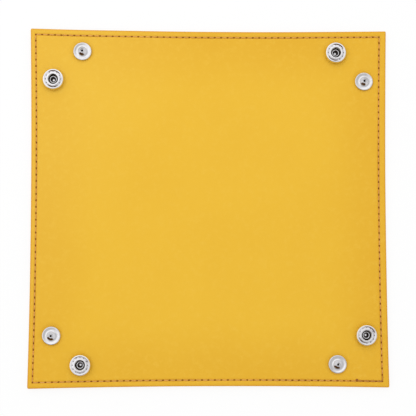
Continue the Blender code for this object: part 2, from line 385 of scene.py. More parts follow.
@dataclass(frozen=True)
class SheetSizes:
    """The flat sheet's sizes, taken from the frame where it has them."""

    half: float
    top: float
    under: float
    floor_half: float
    ear_crease: float
    corner_fold: float
    snap_along: float
    snap_out: float
    side_bow: float = 1.1 * MM
    corner_round: float = 1.0 * MM
    seam_inset: float = 3.39 * MM
    seam_shift: float = 0.53 * MM
    stitches: int = 54
    tack_hole: int = 23
    wall_bend: float = 2.2 * MM
    ear_bend: float = 1.2 * MM

    @classmethod
    def from_frame(cls, frame: dict[str, Any]) -> SheetSizes:
        """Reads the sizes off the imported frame.


        Returns:
            The sizes.
        """
        pivots = {joint["name"]: joint["pos_m"] for joint in frame["joints"]}
        wall, ear, fold = (pivots[f"back_{name}"] for name in
                           ("wall_fold", "socket_ear_crease", "socket_fold_crease"))
        low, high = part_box("snap_socket_back")
        middle = (low + high) / 2
        return cls(half=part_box("socket_fold_leather_back")[1].y, top=wall[2], under=ear[2],
                   floor_half=wall[1], ear_crease=ear[0], corner_fold=(fold[1] - fold[0]) / math.sqrt(2),
                   snap_along=middle.x, snap_out=middle.y)

    @property
    def seam_half(self) -> float:
        """How far the seam's corners are from the middle lines."""
        return self.half - self.seam_inset

    @property
    def stitch(self) -> float:
        """The length of a stitch."""
        return 2 * self.seam_half / self.stitches

    @property
    def wall_end(self) -> float:
        """How far from its middle a wall's flat panel ends."""
        return self.ear_crease - self.ear_bend

    @property
    def ear_start(self) -> float:
        """How far from the wall's middle an ear starts, past its bend."""
        return self.ear_crease + self.ear_bend

    def level(self, face: Face) -> float:
        """The height of a face of the sheet."""
        return self.top if face is Face.UPPER else self.under

    def edge_at(self, along: np.ndarray | float) -> np.ndarray | float:
        """How far out a side's edge is, at a distance along it from the middle."""
        return self.half - self.side_bow * (1 - (along / self.half) ** 2)

    def seam_at(self, along: np.ndarray | float) -> np.ndarray | float:
        """How far out the seam is, at a distance along the side from the middle."""
        return self.seam_half - self.side_bow * (1 - (along / self.seam_half) ** 2)

    def wall_hold(self, side: Side) -> Bend:
        """The bend between the floor and a wall.

        Args:
            side: The wall's side.

        Returns:
            The bend.
        """
        edges = [side.turn @ Vector((0.0, self.floor_half + shift, self.top))
                 for shift in (-self.wall_bend, self.wall_bend)]
        return Bend("floor", f"{side.label}_wall", *edges)

    def ear_hold(self, side: Side, half: SnapHalf) -> Bend:
        """The bend between a wall and one of its ears.

        Args:
            side: The wall's side.
            half: The snap half that the ear carries.

        Returns:
            The bend.
        """
        edges = [side.turn @ Vector((half.hand * along, self.snap_out, self.under))
                 for along in (self.wall_end, self.ear_start)]
        return Bend(f"{side.label}_wall", f"{side.label}_{half.value}_ear", *edges)

    def fold_hold(self, side: Side, half: SnapHalf) -> Bend:
        """The bend between an ear and its corner strip, up to the corner's diagonal.

        Args:
            side: The ear's side.
            half: The snap half that the ear carries.

        Returns:
            The bend.
        """
        edges = [side.turn @ Vector((half.hand * (self.snap_out - shift), self.snap_out + shift, self.top))
                 for shift in (2 * self.corner_fold / math.sqrt(2), 0.0)]
        return Bend(f"{side.label}_{half.value}_ear", f"{side.label}_{half.value}_fold", *edges)


# Finishes


class Finish:
    """A finish, whose nodes give the inputs of one surface shader."""

    name: str

    def inputs(self, graph: Graph, sizes: SheetSizes) -> dict[str, Value]:
        """Adds the finish's nodes and gives the shader's inputs."""
        raise NotImplementedError

    def material(self, sizes: SheetSizes) -> bpy.types.Material:
        """Makes the material. Its height goes through a Bump node, of the depth given in metres.

        Args:
            sizes: The sheet's sizes, for the places of its edge, seam and snaps.

        Returns:
            The material.
        """
        material = bpy.data.materials.new(self.name)
        graph = Graph(material)
        sockets = self.inputs(graph, sizes)
        bump = {"Height": sockets.pop("Height"), "Distance": sockets.pop("Depth"), "Strength": 1.0}
        sockets["Normal"] = graph.wire("ShaderNodeBump", None, bump)
        shader = graph.wire("ShaderNodeBsdfPrincipled", None, sockets)
        graph.node("ShaderNodeOutputMaterial", None, {"Surface": shader})
        return material


@dataclass(frozen=True)
class LeatherFinish(Finish):
    """Smooth yellow leather with a fine grain, a painted edge, painted shade by the seam, in its needle
    holes, round the snaps and toward the rim, and a painted sheen toward the back left.
    """

    name: str = "yellow_leather"
    yellow: Colour = screen_colour(238, 188, 48)
    deep: Colour = screen_colour(231, 177, 40)
    pale: Colour = screen_colour(242, 197, 72)
    edge_paint: Colour = screen_colour(216, 140, 30)
    bond_line: Colour = screen_colour(132, 72, 16)
    crease_shade: Colour = screen_colour(224, 156, 26)
    # Painted shade in the needle holes along the seam
    needle_hole: Colour = screen_colour(158, 88, 26)
    clouds: Mottle = Mottle(26.0, 3.0)
    cloudy: Mark = Mark(0.2, (0.3, 0.72))
    flecks: Mottle = Mottle(420.0, 3.0, 0.6)
    flecked: Mark = Mark(0.35, (0.45, 0.8))
    grain: float = 1500.0
    grained: Mark = Mark(0.16, (0.0, 0.12))
    pores: float = 3600.0
    # Painted shade: darker from about 4 to 40 mm in from the edge, toward the rim
    handled: Mark = Mark(0.8, (4.0 * MM, 40.0 * MM))
    # Painted sheen: the leather is paler toward the back left corner
    faded: Mark = Mark(0.36, (35.0 * MM, 120.0 * MM))
    faded_slant: float = 0.5
    sewn: Mark = Mark(0.06, (0.3 * MM, 1.2 * MM))
    seated: Mark = Mark(0.1, (5.6 * MM, 7.6 * MM))
    bonded: Mark = Mark(0.8, (0.04 * MM, 0.2 * MM))
    bond_inset: Span = (0.15 * MM, 0.4 * MM)
    edge_band: Span = (0.3 * MM, 1.3 * MM)
    edge_share: float = 0.3
    edge_polish: float = 0.14
    hole_length: float = 0.8 * MM
    hole_width: float = 0.52 * MM
    hole_band: Span = (0.6, 1.05)
    hole_matt: float = 0.2
    matt: float = 0.5
    fleck_matt: float = 0.12
    grain_height: Mark = Mark(0.55, (0.0, 0.3))
    pore_height: float = 0.35
    fleck_height: float = 0.8
    grain_depth: float = 0.035 * MM
    specular: float = 0.28

    @staticmethod
    def inset(x: Wire, y: Wire, half: float, bow: float) -> tuple[Wire, Wire]:
        """How far a point is inside a square with bowed sides.

        Args:
            x: The point's place.
            y: The same.
            half: Half the square's side, at its corners.
            bow: How far a side is drawn in at its middle.

        Returns:
            The distance, and how far the point is along the side from its middle.
        """
        along = abs(x).lesser(abs(y))
        return half - bow + (along / half) ** 2.0 * bow - abs(x).greater(abs(y)), along

    def inputs(self, graph: Graph, sizes: SheetSizes) -> dict[str, Value]:
        """Adds the leather's nodes.

        Args:
            graph: The material's nodes.
            sizes: The sheet's sizes.

        Returns:
            The shader's inputs.
        """
        place = graph.flat_place()
        x, y, z = graph.split(place)
        inset, _ = self.inset(x, y, sizes.half, sizes.side_bow)
        off_seam, seam_along = self.inset(x + sizes.seam_shift, y, sizes.seam_half, sizes.side_bow)
        from_seam = abs(off_seam)
        from_hole = abs((seam_along / sizes.stitch + 0.5).fraction() - 0.5) * sizes.stitch
        from_middle = abs(z - (sizes.top + sizes.under) / 2)
        from_snap = SnapAxis(x, y, sizes).radius

        near_edge = 1 - inset.rise(*self.edge_band)
        hole_reach = ((from_hole / self.hole_length) ** 2.0 + (from_seam / self.hole_width) ** 2.0) ** 0.5
        in_hole = 1 - hole_reach.rise(*self.hole_band)

        clouds = graph.noise(place, self.clouds)
        flecks = graph.noise(place, self.flecks)
        grain = graph.cells(place, self.grain, "DISTANCE_TO_EDGE")
        pores = graph.cells(place, self.pores)
        colour = graph.paint(
            self.yellow,
            # Random clouds, and the painted shade toward the rim
            (self.cloudy.over(clouds) + self.handled.under(inset), self.deep),
            # Pale flecks, and the painted sheen toward the back left corner
            (self.flecked.over(flecks) + self.faded.over(y * self.faded_slant - x), self.pale),
            (self.grained.under(grain), self.deep),
            (self.sewn.under(from_seam) + self.seated.under(from_snap), self.crease_shade),
            (near_edge * (1 + clouds) * self.edge_share, self.edge_paint),
            (self.bonded.under(from_middle) * (1 - inset.rise(*self.bond_inset)), self.bond_line),
            # Painted shade in the needle holes
            (in_hole, self.needle_hole))
        roughness = self.matt + flecks * self.fleck_matt - near_edge * self.edge_polish
        roughness = roughness + in_hole * self.hole_matt
        height = self.grain_height.over(grain) + pores * self.pore_height + flecks * self.fleck_height
        return {"Base Color": colour, "Roughness": roughness, "Specular IOR Level": self.specular,
                "Height": height, "Depth": self.grain_depth}


@dataclass(frozen=True)
class ThreadFinish(Finish):
    """Twisted brown sewing thread, with painted shade where it goes down into its holes, and darker where it
    is tacked.
    """

    name: str = "brown_thread"
    tan: Colour = screen_colour(226, 168, 94)
    brown: Colour = screen_colour(208, 145, 72)
    dark: Colour = screen_colour(150, 84, 20)
    fibres: Mottle = Mottle(5200.0, 3.0, 0.65)
    fibrous: Mark = Mark(0.4, (0.5, 0.8))
    fibre_depth: float = 0.03 * MM
    dye: Mottle = Mottle(130.0)
    dyed: Mark = Mark(0.6, (0.3, 0.7))
    hole_band: Span = (0.1, 0.23)
    tack_lead: float = 0.3
    tack_band: Span = (0.0, 0.5 * MM)
    tack_side: Span = (5.0 * MM, 6.0 * MM)
    tack_share: float = 0.6
    dark_share: float = 0.9
    matt: float = 0.62
    fibre_matt: float = 0.2
    specular: float = 0.25

    def inputs(self, graph: Graph, sizes: SheetSizes) -> dict[str, Value]:
        """Adds the thread's nodes.

        Args:
            graph: The material's nodes.
            sizes: The sheet's sizes.

        Returns:
            The shader's inputs.
        """
        place = graph.flat_place()
        x, y, _ = graph.split(place)
        along = abs(x + sizes.seam_shift).lesser(abs(y))
        from_hole = abs((along / sizes.stitch + 0.5).fraction() - 0.5)
        painted_hole_shade = 1 - from_hole.rise(*self.hole_band)
        tack_start = (sizes.tack_hole - self.tack_lead) * sizes.stitch - sizes.seam_shift
        on_front = (0 - y - sizes.snap_out).rise(*self.tack_side)
        tacked = (x - tack_start).rise(*self.tack_band) * on_front
        fibre = graph.noise(place, self.fibres)
        colour = graph.paint(self.tan,
                             (self.dyed.over(graph.noise(place, self.dye)), self.brown),
                             (self.fibrous.over(fibre), self.brown),
                             # Painted shade by the holes, and darker where the thread is tacked
                             (painted_hole_shade.greater(tacked * self.tack_share) * self.dark_share, self.dark))
        return {"Base Color": colour, "Roughness": self.matt + fibre * self.fibre_matt,
                "Specular IOR Level": self.specular, "Height": fibre, "Depth": self.fibre_depth}


class SnapAxis:
    """Where points of the flat sheet lie from the axis of the nearest snap."""

    def __init__(self, x: Wire, y: Wire, sizes: SheetSizes) -> None:
        """Adds the nodes.

        Args:
            x: The points' places.
            y: The same.
            sizes: The sheet's sizes.
        """
        self.aside = abs(x).lesser(abs(y)) - sizes.snap_along
        self.beyond = abs(x).greater(abs(y)) - sizes.snap_out
        self.radius = (self.aside * self.aside + self.beyond * self.beyond) ** 0.5


@dataclass(frozen=True)
class PitRing:
    """A ring of plain pits pressed into a socket's groove."""

    count: int = 12
    inner: float = 4.08 * MM
    outer: float = 4.44 * MM
    blur: float = 0.08 * MM
    share: float = 0.24
    slope: float = 2.6
    depth: float = 0.2 * MM
    foot: float = 2.4 * MM

    @property
    def offset(self) -> float:
        """The cosine at which a pit's edge is half way down."""
        return math.cos(math.pi * self.share)

    def fall(self, radius: float, height: float, angle: float) -> float:
        """How far a pit lowers a point of the socket.

        Args:
            radius: The point's distance from the axis.
            height: Its height over the leather.
            angle: Its angle round the axis.

        Returns:
            The fall, as a rise below 0.
        """
        if height < self.foot or not self.inner < radius < self.outer:
            return 0.0
        wave = math.cos(self.count * angle) - self.offset
        return -self.depth * min(max(0.5 + self.slope * wave, 0.0), 1.0)

    def mask(self, graph: Graph, axis: SnapAxis) -> Wire:
        """1 in the pits and 0 elsewhere.

        Args:
            graph: The material's nodes.
            axis: Where the points lie from the snap's axis.

        Returns:
            The mask.
        """
        angle = graph.math("ARCTAN2", axis.beyond, axis.aside)
        wave = graph.math("COSINE", angle * self.count) - self.offset
        past_inner = axis.radius.rise(self.inner - self.blur, self.inner)
        past_outer = axis.radius.rise(self.outer, self.outer + self.blur)
        return wave.rise(-0.5 / self.slope, 0.5 / self.slope) * (past_inner * (1 - past_outer))


@dataclass(frozen=True)
class PlatedFinish(Finish):
    """Polished plated metal with fine wear, with painted shade in a hollow round the snap's axis and, where
    it has pits, in those.
    """

    name: str
    metal: Colour = screen_colour(228, 227, 230)
    dull: Colour = screen_colour(196, 193, 193)
    # Painted shade in the hollow round the snap's axis
    bare: Colour = screen_colour(52, 45, 38)
    # Painted shade in the pits of a socket's groove, made uneven with noise
    tarnish: Colour = screen_colour(104, 98, 96)
    rubbing: Mottle = Mottle(620.0, 4.0, 0.6)
    dulled: Mark = Mark(0.45, (0.42, 0.75))
    wear: Mark = Mark(0.08, (0.4, 0.8))
    scratches: Mottle = Mottle(6400.0)
    scratch_depth: float = 0.0008 * MM
    scratch_matt: float = 0.04
    polish: float = 0.07
    hollow_matt: float = 0.3
    pits: PitRing | None = None
    pit_share: float = 0.3
    pit_dirt: float = 0.9
    hollow_radius: float = 0.0
    hollow_foot: float = 0.0
    hollow_mouth: float = 0.0
    fade: float = 0.12 * MM

    def inputs(self, graph: Graph, sizes: SheetSizes) -> dict[str, Value]:
        """Adds the metal's nodes.

        Args:
            graph: The material's nodes.
            sizes: The sheet's sizes.

        Returns:
            The shader's inputs.
        """
        place = graph.flat_place()
        x, y, z = graph.split(place)
        axis = SnapAxis(x, y, sizes)
        height = z - sizes.top
        # Painted shade: darker in a hollow round the snap's axis, between its foot and its mouth
        inside = 1 - axis.radius.rise(self.hollow_radius, self.hollow_radius + self.fade)
        below = 1 - height.rise(self.hollow_mouth - self.fade, self.hollow_mouth)
        hollow = inside * below * height.rise(self.hollow_foot - self.fade, self.hollow_foot)
        rubbed = graph.noise(place, self.rubbing)
        scratched = graph.noise(place, self.scratches)
        colour = graph.paint(self.metal, (self.dulled.over(rubbed), self.dull), (hollow, self.bare))
        # Painted shade in the pits, made uneven with noise
        if self.pits:
            pit_shade_share = self.pits.mask(graph, axis) * (self.pit_share + rubbed * self.pit_dirt)
            colour = graph.paint(colour, (pit_shade_share, self.tarnish))
        roughness = self.polish + self.wear.over(rubbed) + scratched * self.scratch_matt
        return {"Base Color": colour, "Metallic": 1.0, "Roughness": roughness + hollow * self.hollow_matt,
                "Height": scratched, "Depth": self.scratch_depth}


@dataclass(frozen=True)
class Finishes:
    """The materials of the tray's pieces."""

    leather: bpy.types.Material
    thread: bpy.types.Material
    stud: bpy.types.Material
    eyelet: bpy.types.Material
    socket: bpy.types.Material
    cap: bpy.types.Material
    wire: bpy.types.Material

    @classmethod
    def for_sheet(cls, sizes: SheetSizes) -> Finishes:
        """Makes them for a sheet of these sizes.

        Args:
            sizes: The sheet's sizes.

        Returns:
            The finishes.
        """
        # The eyelet's bore, the socket's mouth and the cap's post get painted shade in their hollows, and the
        # socket's pits get painted shade too
        eyelet = PlatedFinish("eyelet_plate", bare=screen_colour(112, 100, 88), hollow_radius=0.95 * MM,
                              hollow_foot=-2.2 * MM, hollow_mouth=2.85 * MM)
        socket = PlatedFinish("socket_plate", screen_colour(243, 242, 244), screen_colour(216, 213, 214),
                              tarnish=screen_colour(62, 56, 54), pits=PitRing(), hollow_radius=3.5 * MM,
                              hollow_foot=-0.1 * MM, hollow_mouth=2.8 * MM)
        cap = PlatedFinish("cap_plate", bare=screen_colour(104, 95, 88), hollow_radius=1.45 * MM,
                           hollow_foot=-1.25 * MM, hollow_mouth=1.15 * MM)
        wire = PlatedFinish("spring_wire", screen_colour(196, 190, 180), screen_colour(140, 134, 126),
                            polish=0.2)
        finishes = (LeatherFinish(), ThreadFinish(), PlatedFinish("stud_plate"), eyelet, socket, cap, wire)
        return cls(*(finish.material(sizes) for finish in finishes))


# Meshes


def linked(name: str, data: bpy.types.ID) -> bpy.types.Object:
    """Adds an object to the scene.

    Args:
        name: Its name.
        data: Its mesh, lamp or camera.

    Returns:
        The object.
    """
    item = bpy.data.objects.new(name, data)
    bpy.context.scene.collection.objects.link(item)
    return item


def mesh_piece(name: str, points: np.ndarray, faces: Sequence[Sequence[int]],
               material: bpy.types.Material, sharp: float = 50.0) -> bpy.types.Object:
    """Makes a smooth piece that remembers where each of its points lies on the flat sheet.

    Args:
        name: The piece's name.
        points: Its points in the frame, one a row.
        faces: The points of each face.
        material: Its finish.
        sharp: The angle in degrees from which an edge stays sharp.

    Returns:
        The piece.
    """
    mesh = bpy.data.meshes.new(name)
    mesh.from_pydata(points.tolist(), [], [list(face) for face in faces])
    bm = bmesh.new()
    bm.from_mesh(mesh)
    bmesh.ops.recalc_face_normals(bm, faces=bm.faces[:])
    bm.to_mesh(mesh)
    bm.free()
    mesh.shade_smooth()
    mesh.set_sharp_from_angle(angle=math.radians(sharp))
    rest = mesh.attributes.new(REST_PLACE, "FLOAT_VECTOR", "POINT")
    rest.data.foreach_set("vector", points.astype(np.float32).ravel())
    mesh.materials.append(material)
    return linked(name, mesh)


def moved(points: np.ndarray, matrix: Matrix) -> np.ndarray:
    """The points after a turn or shift, one a row."""
    table = np.array(matrix)
    return points @ table[:3, :3].T + table[:3, 3]


def cell_middles(net: np.ndarray) -> np.ndarray:
    """The values at the middles of a net's cells."""
    return (net[:-1, :-1] + net[1:, 1:]) / 2


def tube_faces(rings: int, around: int) -> list[list[int]]:
    """The faces of a closed tube whose points come ring by ring.

    Args:
        rings: How many rings it has.
        around: Points in a ring.

    Returns:
        The faces, the two ends last.
    """
    faces = []
    for ring in range(rings - 1):
        near, far = ring * around, (ring + 1) * around
        for step in range(around):
            after = (step + 1) % around
            faces.append([near + step, near + after, far + after, far + step])
    ends = (0, (rings - 1) * around)
    return faces + [list(range(end, end + around)) for end in ends]


def filleted(corners: Sequence[Corner], steps: int = 4, most: float = 0.48) -> list[Span]:
    """Rounds the corners of a closed outline.

    Args:
        corners: The outline's corners.
        steps: Faces on each fillet.
        most: The greatest share of an edge that a fillet takes up.

    Returns:
        Radius and height of the outline's points, in metres.
    """
    outline: list[Span] = []
    for place, (radius, height, fillet) in enumerate(corners):
        here = Vector((radius, height))
        if fillet == 0:
            outline.append((radius * MM, height * MM))
            continue
        arms = []
        for other in (corners[place - 1], corners[(place + 1) % len(corners)]):
            arm = Vector(other[:2]) - here
            arms.append(here + arm.normalized() * min(fillet, most * arm.length))
        for step in range(steps + 1):
            share = step / steps
            spot = arms[0].lerp(here, share).lerp(here.lerp(arms[1], share), share)
            outline.append((spot.x * MM, spot.y * MM))
    return outline


def lathed(name: str, corners: Sequence[Corner], centre: Vector, material: bpy.types.Material,
           segments: int, lift: Lift | None) -> bpy.types.Object:
    """Turns a closed outline with rounded corners round an upright axis.

    Args:
        name: The piece's name.
        corners: The outline's corners. Those at radius 0 lie on the axis.
        centre: The axis's foot in the frame.
        material: The piece's finish.
        segments: Faces round the axis.
        lift: How far its points are raised, if they are.

    Returns:
        The piece.
    """
    points: list[Point] = []
    rings: list[list[int]] = []
    for radius, height in filleted(corners):
        rings.append([])
        for step in range(segments if radius else 1):
            angle = 2 * math.pi * step / segments
            raised = lift(radius, height, angle) if lift else 0.0
            rings[-1].append(len(points))
            points.append((radius * math.cos(angle), radius * math.sin(angle), height + raised))
    faces: list[list[int]] = []
    for ring, after in zip(rings, rings[1:] + rings[:1]):
        if len(ring) == 1 and len(after) == 1:
            continue
        for step in range(segments):
            near = [ring[step % len(ring)], ring[(step + 1) % len(ring)]]
            far = [after[(step + 1) % len(after)], after[step % len(after)]]
            faces.append(list(dict.fromkeys(near + far)))
    return mesh_piece(name, moved(np.array(points), Matrix.Translation(centre)), faces, material)


# Leather


@dataclass(frozen=True)
class Ridge:
    """A smooth ridge, or a hollow where its height is below 0: its height, its reach and its place."""

    height: float
    reach: float
    place: float = 0.0

    def at(self, distance: np.ndarray) -> np.ndarray:
        """How high it stands at a distance."""
        return self.height * np.exp(-((distance - self.place) / self.reach) ** 2)


@dataclass
class LeatherSheet:
    """The doubled leather: a floor, four walls, their bends, and the ears at the walls' ends.

    The feet of the ears run on a little way inside the floor's corners, so that no gap opens there when the
    corners fold. Each row of that tuck has its reach past the foot, and how far its upper and lower faces
    are sunk. Tabs of the floor's corners and of the ears' bends run on inside the ears' feet for the same
    reason.
    """

    sizes: SheetSizes
    finishes: Finishes
    tuck: tuple[Point, ...] = ((0.02 * MM, 0.25 * MM, 0.25 * MM), (0.9 * MM, 0.25 * MM, 0.55 * MM),
                               (1.8 * MM, 0.3 * MM, 1.2 * MM))
    tab_marks: tuple[float, ...] = (0.02 * MM, 0.5 * MM, 0.95 * MM)
    tab_height: float = 3.8 * MM
    tab_sink: float = 0.25 * MM
    corner_tab: float = 1.3 * MM
    corner_marks: tuple[float, ...] = (0.02 * MM, 0.75 * MM, 1.48 * MM)
    corner_sink: Span = (0.15 * MM, 1.35 * MM)
    # The edge's roll, the seam's channel and holes with the ridges beside them, and the snaps' seats
    roll_reach: float = 0.9 * MM
    roll_drop: float = 0.55 * MM
    channel: Ridge = Ridge(-0.22 * MM, 0.62 * MM)
    needle_hole: Ridge = Ridge(-0.4 * MM, 0.42 * MM)
    seam_ridge: Ridge = Ridge(0.066 * MM, 0.7 * MM, 1.5 * MM)
    seat_depth: float = 0.18 * MM
    seat_radius: float = 5.3 * MM
    seat_slope: float = 1.9 * MM
    seat_ridge: Ridge = Ridge(0.09 * MM, 1.3 * MM, 7.58 * MM)
    snap_hole: float = 2.4 * MM
    # The slight waves of the whole sheet
    swell: float = 0.09 * MM
    wave_lengths: Span = (93.0 * MM, 81.0 * MM)
    wave_starts: Span = (0.13, 0.21)
    cross_length: float = 57.0 * MM
    cross_slant: float = 0.6
    cross_share: float = 0.7
    # The cut edge's rows, as shares of the way down and of the groove between the skins
    bond_groove: float = 0.14 * MM
    rim_rows: tuple[Span, ...] = ((0.2, -0.25), (0.4, -0.1), (0.5, 1.0), (0.6, -0.1), (0.8, -0.25))
    # The nets' lines
    roll_rows: tuple[float, ...] = (0.0, 0.03, 0.1, 0.22, 0.4, 0.65, 1.0)
    margin_rows: tuple[float, ...] = (1.5 * MM, 2.0 * MM)
    seam_pitch: float = 0.22 * MM
    seam_rows: int = 4
    past_seam: tuple[float, ...] = (1.3 * MM, 1.8 * MM, 2.4 * MM)
    stitch_parts: tuple[float, ...] = (0.0, 0.12, 0.3, 0.5, 0.7, 0.88)
    stitch_apart: float = 0.1
    wall_pitch: float = 2.4 * MM
    ear_pitch: float = 1.2 * MM
    floor_lines: int = 49
    corner_lines: int = 3
    wall_bend_lines: tuple[int, int] = (65, 15)
    ear_bend_lines: int = 9
    sharp_edge: float = 40.0
    tolerance: float = 0.01 * MM

    # The sheet's two faces

    def relief(self, x: np.ndarray, y: np.ndarray, face: Face) -> np.ndarray:
        """How far a face dips below its level.

        Args:
            x: Places on the sheet.
            y: The same.
            face: Which face.

        Returns:
            The dips.
        """
        sizes = self.sizes
        out = np.maximum(np.abs(x), np.abs(y))
        along = np.minimum(np.abs(x), np.abs(y))
        roll = np.clip(1 - (sizes.edge_at(along) - out) / self.roll_reach, 0.0, 1.0)
        dip = self.roll_drop * (1 - np.sqrt(1 - roll ** 2))

        sewn = np.abs(x + sizes.seam_shift)
        seam_along = np.minimum(sewn, np.abs(y))
        from_seam = sizes.seam_at(seam_along) - np.maximum(sewn, np.abs(y))
        from_hole = ((seam_along / sizes.stitch + 0.5) % 1.0 - 0.5) * sizes.stitch
        dip -= self.channel.at(from_seam) + self.needle_hole.at(np.hypot(from_seam, from_hole))
        dip -= self.seam_ridge.at(np.abs(from_seam))

        from_snap = np.hypot(along - sizes.snap_along, out - sizes.snap_out)
        slope = np.clip((from_snap - self.seat_radius) / self.seat_slope, 0.0, 1.0)
        dip += self.seat_depth * (1 - slope * slope * (3 - 2 * slope))
        dip -= self.seat_ridge.at(from_snap)

        turns = [place / length + start
                 for place, length, start in zip((x, y), self.wave_lengths, self.wave_starts)]
        cross = (x + self.cross_slant * y) / self.cross_length
        waves = np.sin(2 * math.pi * turns[0]) * np.cos(2 * math.pi * turns[1])
        waves += self.cross_share * np.sin(2 * math.pi * cross)
        return dip - self.swell * waves * face.value

    def heights(self, x: np.ndarray, y: np.ndarray, face: Face) -> np.ndarray:
        """The heights of a face of the sheet at places on it."""
        return self.sizes.level(face) - face.value * self.relief(x, y, face)

    # Closed slabs

    @staticmethod
    def net_faces(keep: np.ndarray, rims: int) -> list[list[int]]:
        """The faces of a closed slab over a net.

        Args:
            keep: Which of the net's cells are leather.
            rims: How many rows of points the cut edge has, under the net's first row.

        Returns:
            The faces. They number the upper face's points, then the lower face's, then the cut edge's.
        """
        columns = keep.shape[1] + 1
        count = (keep.shape[0] + 1) * columns
        loops = [[(row + 1, col), (row + 1, col + 1), (row, col + 1), (row, col)]
                 for row, col in zip(*np.nonzero(keep))]
        sides = {pair for loop in loops for pair in zip(loop, loop[1:] + loop[:1])}
        faces = []
        for loop in loops:
            spots = [row * columns + col for row, col in loop]
            faces += [spots, [count + spot for spot in reversed(spots)]]
        for first, second in sorted(sides):
            if (second, first) in sides:
                continue
            downs = []
            for row, col in (first, second):
                spot = row * columns + col
                fall = [2 * count + columns * step + col for step in range(rims)] if row == 0 else []
                downs.append([spot, *fall, count + spot])
            near, far = downs
            if len(near) == len(far):
                for step in range(len(near) - 1):
                    faces.append([near[step + 1], far[step + 1], far[step], near[step]])
            else:
                faces.append([near[-1], *reversed(far), *near[:-1]])
        return faces

    def slab(self, name: str, x: np.ndarray, y: np.ndarray, side: Side | None = None, has_edge: bool = False,
             keep: np.ndarray | None = None, sunk: np.ndarray | None = None) -> bpy.types.Object:
        """Makes a closed slab of leather from a net of places.

        Args:
            name: The piece's name.
            x: The net's places, rows from the outside in, columns from left to right.
            y: The same.
            side: The side that the places are given for, as if it were the back one.
            has_edge: Whether the first row is the sheet's own edge.
            keep: Which of the net's cells are leather. All are if it isn't given.
            sunk: How far the upper and lower faces are sunk at each place. They aren't if it isn't given.

        Returns:
            The piece.
        """
        rows, columns = x.shape
        keep = np.ones((rows - 1, columns - 1), bool) if keep is None else keep
        sunk = np.zeros((rows, columns, len(Face))) if sunk is None else sunk
        flat = np.stack([x, y, np.zeros_like(x)], -1).reshape(-1, 3)
        if side is not None:
            flat = moved(flat, side.turn)
        layers = []
        for number, face in enumerate(Face):
            level = flat.copy()
            level[:, 2] = self.heights(flat[:, 0], flat[:, 1], face) - face.value * sunk[..., number].ravel()
            layers.append(level)
        rim = self.rim(layers[0][:columns], layers[1][:columns]) if has_edge else []
        points = np.concatenate(layers + rim)
        faces = self.net_faces(keep, len(rim))
        used = sorted({spot for face in faces for spot in face})
        order = {spot: place for place, spot in enumerate(used)}
        faces = [[order[spot] for spot in face] for face in faces]
        return mesh_piece(name, points[used], faces, self.finishes.leather, self.sharp_edge)

    def rim(self, upper: np.ndarray, lower: np.ndarray) -> list[np.ndarray]:
        """The rows between the two faces along the sheet's edge, with a fine groove where the skins meet.

        Args:
            upper: The upper face's edge points.
            lower: The lower face's edge points.

        Returns:
            The rows, from the top down.
        """
        inward = -upper * np.array([1.0, 1.0, 0.0])
        far = np.abs(inward).max(axis=1, keepdims=True)
        inward = np.where(np.abs(inward) >= far - self.tolerance, inward, 0.0) / far
        return [upper + (lower - upper) * share + inward * depth * self.bond_groove
                for share, depth in self.rim_rows]

    # The nets of places

    def stitch_marks(self, low: float, high: float) -> np.ndarray:
        """Places along a side that bring out each needle hole.

        Args:
            low: The first place.
            high: The last place.

        Returns:
            The places in order, the first and last among them.
        """
        stitch = self.sizes.stitch
        steps = range(math.floor(low / stitch) - 1, math.ceil(high / stitch) + 1)
        marks = [(step + part) * stitch for step in steps for part in self.stitch_parts]
        apart = self.stitch_apart * stitch
        inner = [mark for mark in marks if low + apart < mark < high - apart]
        return np.array([low, *sorted(inner), high])

    def inset_rows(self, depth: float, pitch: float, tucked: bool = False) -> np.ndarray:
        """Distances from the edge, close at the edge's roll and at the seam.

        Args:
            depth: The foot's distance.
            pitch: How far apart the rows are further in.
            tucked: Whether the foot's tuck is added.

        Returns:
            The distances in order.
        """
        seam = self.sizes.seam_inset
        near = [share * self.roll_reach for share in self.roll_rows]
        near += self.margin_rows
        near += [seam + step * self.seam_pitch for step in range(-self.seam_rows, self.seam_rows + 1)]
        near += [seam + reach for reach in self.past_seam]
        count = math.ceil((depth - near[-1]) / pitch)
        inner = np.linspace(near[-1], depth, count + 1)[1:]
        beyond = [depth + reach for reach, *_ in self.tuck] if tucked else []
        return np.array([*near, *inner, *beyond])

    def tuck_falls(self, rows: int, columns: int) -> np.ndarray:
        """How far the faces of a net with a foot's tuck are sunk.

        Args:
            rows: The net's rows, the tuck's among them.
            columns: The net's columns.

        Returns:
            The falls of both faces at each place.
        """
        falls = np.zeros((rows, columns, len(Face)))
        for row, (_, *fall) in zip(range(rows - len(self.tuck), rows), self.tuck):
            falls[row] = fall
        return falls

    def side_net(self, columns: np.ndarray, foot: float, pitch: float,
                 tucked: bool = False) -> tuple[np.ndarray, np.ndarray]:
        """A net from a side's bowed edge in to a straight foot.

        Args:
            columns: Places along the side.
            foot: How far out the foot is.
            pitch: How far apart the inner rows are.
            tucked: Whether the foot's tuck is added.

        Returns:
            The net's places.
        """
        depth = self.sizes.half - foot
        shares = 1 - self.inset_rows(depth, pitch, tucked) / depth
        x = np.tile(columns, (len(shares), 1))
        y = foot + shares[:, None] * (self.sizes.edge_at(x) - foot)
        return x, y

    # The panels and the bends between them

